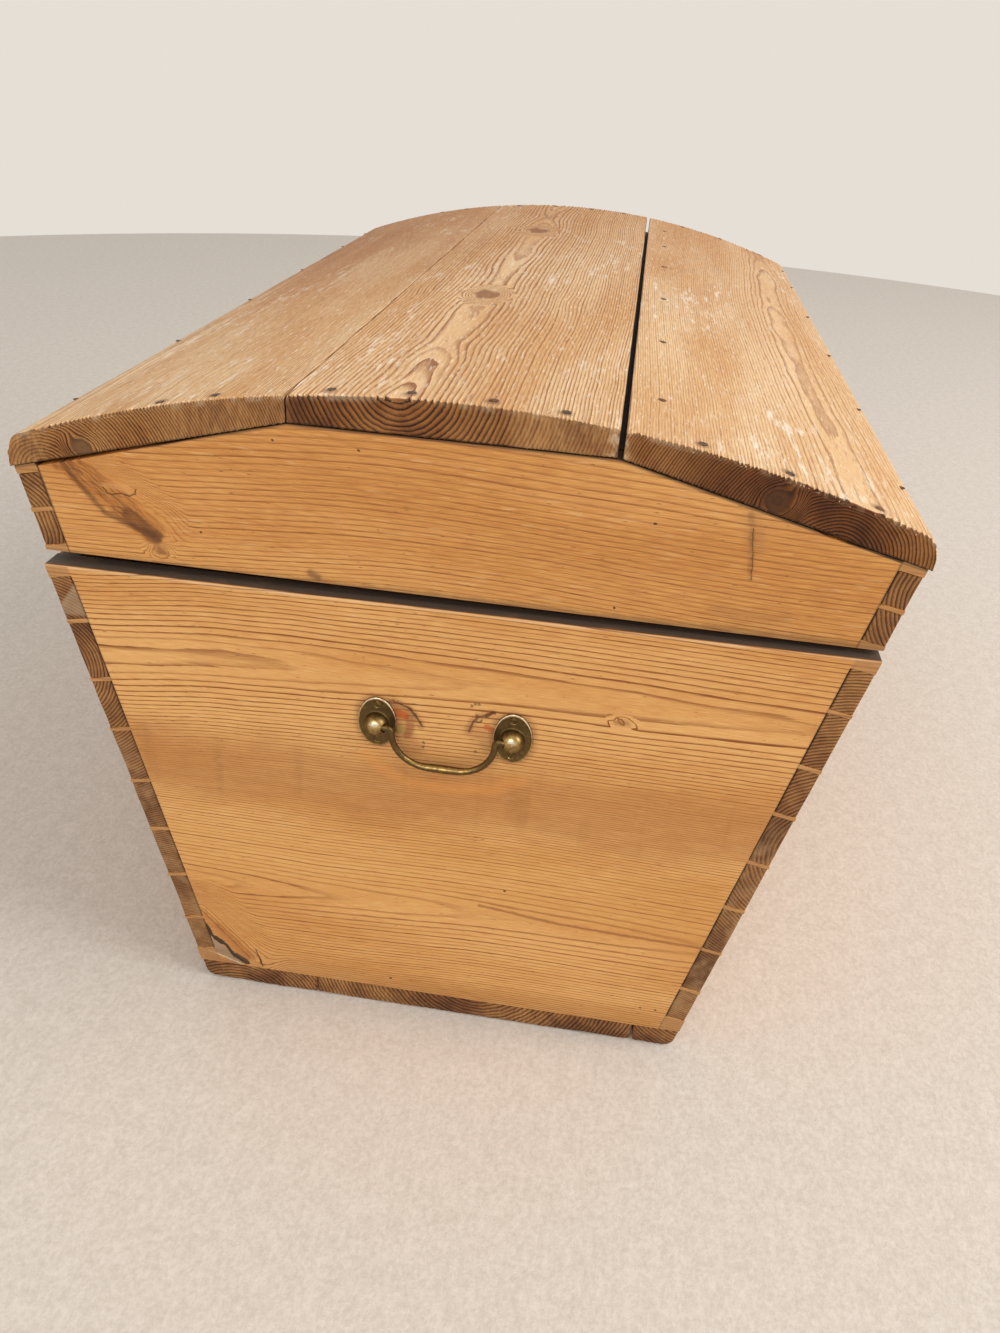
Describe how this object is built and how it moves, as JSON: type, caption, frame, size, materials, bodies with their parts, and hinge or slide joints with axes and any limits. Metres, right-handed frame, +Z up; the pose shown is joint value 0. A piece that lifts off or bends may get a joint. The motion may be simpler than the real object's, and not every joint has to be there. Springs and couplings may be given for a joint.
{
  "type": "wooden trunk",
  "caption": "Pine trunk with outward-leaning dovetailed walls, a domed plank lid on strap hinges, brass bail handles and a lock.",
  "frame": {"origin": "on the floor under the middle of the trunk", "axes": "+X along the length to the right-hand end, front faces -Y, +Z up"},
  "size_m": [1.0866, 0.6541, 0.5858],
  "materials": {
    "old_pine": "waxed and worn",
    "aged_brass": "tarnished",
    "nail_iron": "rusted",
    "forged_iron": "forged"
  },
  "bodies": {
    "chest": {"front_board": "old_pine", "back_board": "old_pine", "right_end_board": "old_pine", "left_end_board": "old_pine", "bottom_front_board": "old_pine", "bottom_middle_board": "old_pine", "bottom_back_board": "old_pine", "bottom_nails": "nail_iron", "right_hinge_chest_strap": "forged_iron", "left_hinge_chest_strap": "forged_iron", "right_hinge_pin": "forged_iron", "left_hinge_pin": "forged_iron", "hinge_chest_nails": "nail_iron", "right_handle_back_rose": "aged_brass", "right_handle_front_rose": "aged_brass", "right_handle_screws": "aged_brass", "left_handle_back_rose": "aged_brass", "left_handle_front_rose": "aged_brass", "left_handle_screws": "aged_brass", "lock_plate": "forged_iron", "lock_plate_nails": "nail_iron", "lock_case": "forged_iron", "keyhole_escutcheon": "aged_brass", "escutcheon_pins": "aged_brass"},
    "lid": {"lid_front_rail": "old_pine", "lid_back_rail": "old_pine", "lid_right_end_board": "old_pine", "lid_left_end_board": "old_pine", "lid_front_plank": "old_pine", "lid_middle_plank": "old_pine", "lid_back_plank": "old_pine", "lid_batten": "old_pine", "lid_end_nails": "nail_iron", "lid_rail_nails": "nail_iron", "lid_batten_nails": "nail_iron", "right_hinge_lid_strap": "forged_iron", "left_hinge_lid_strap": "forged_iron", "hinge_lid_nails": "nail_iron", "lid_catch": "forged_iron", "lid_catch_screws": "forged_iron"},
    "right_bail": {"right_handle_bail": "aged_brass"},
    "left_bail": {"left_handle_bail": "aged_brass"},
    "bolt": {"lock_bolt": "forged_iron"}
  },
  "joints": [
    {"name": "lid_hinge", "type": "hinge", "parent": "chest", "child": "lid", "pos_m": [0, 0.316, 0.43525], "axis": [-1, 0, 0], "range_deg": [0, 105]},
    {"name": "right_bail_swing", "type": "hinge", "parent": "chest", "child": "right_bail", "pos_m": [0.5382, 0.0013, 0.328], "axis": [0, -1, 0], "range_deg": [-7, 187]},
    {"name": "left_bail_swing", "type": "hinge", "parent": "chest", "child": "left_bail", "pos_m": [-0.5382, 0.0013, 0.328], "axis": [0, 1, 0], "range_deg": [-7, 187]},
    {"name": "bolt_slide", "type": "slide", "parent": "chest", "child": "bolt", "axis": [1, 0, 0], "range_m": [0, 0.012]}
  ]
}
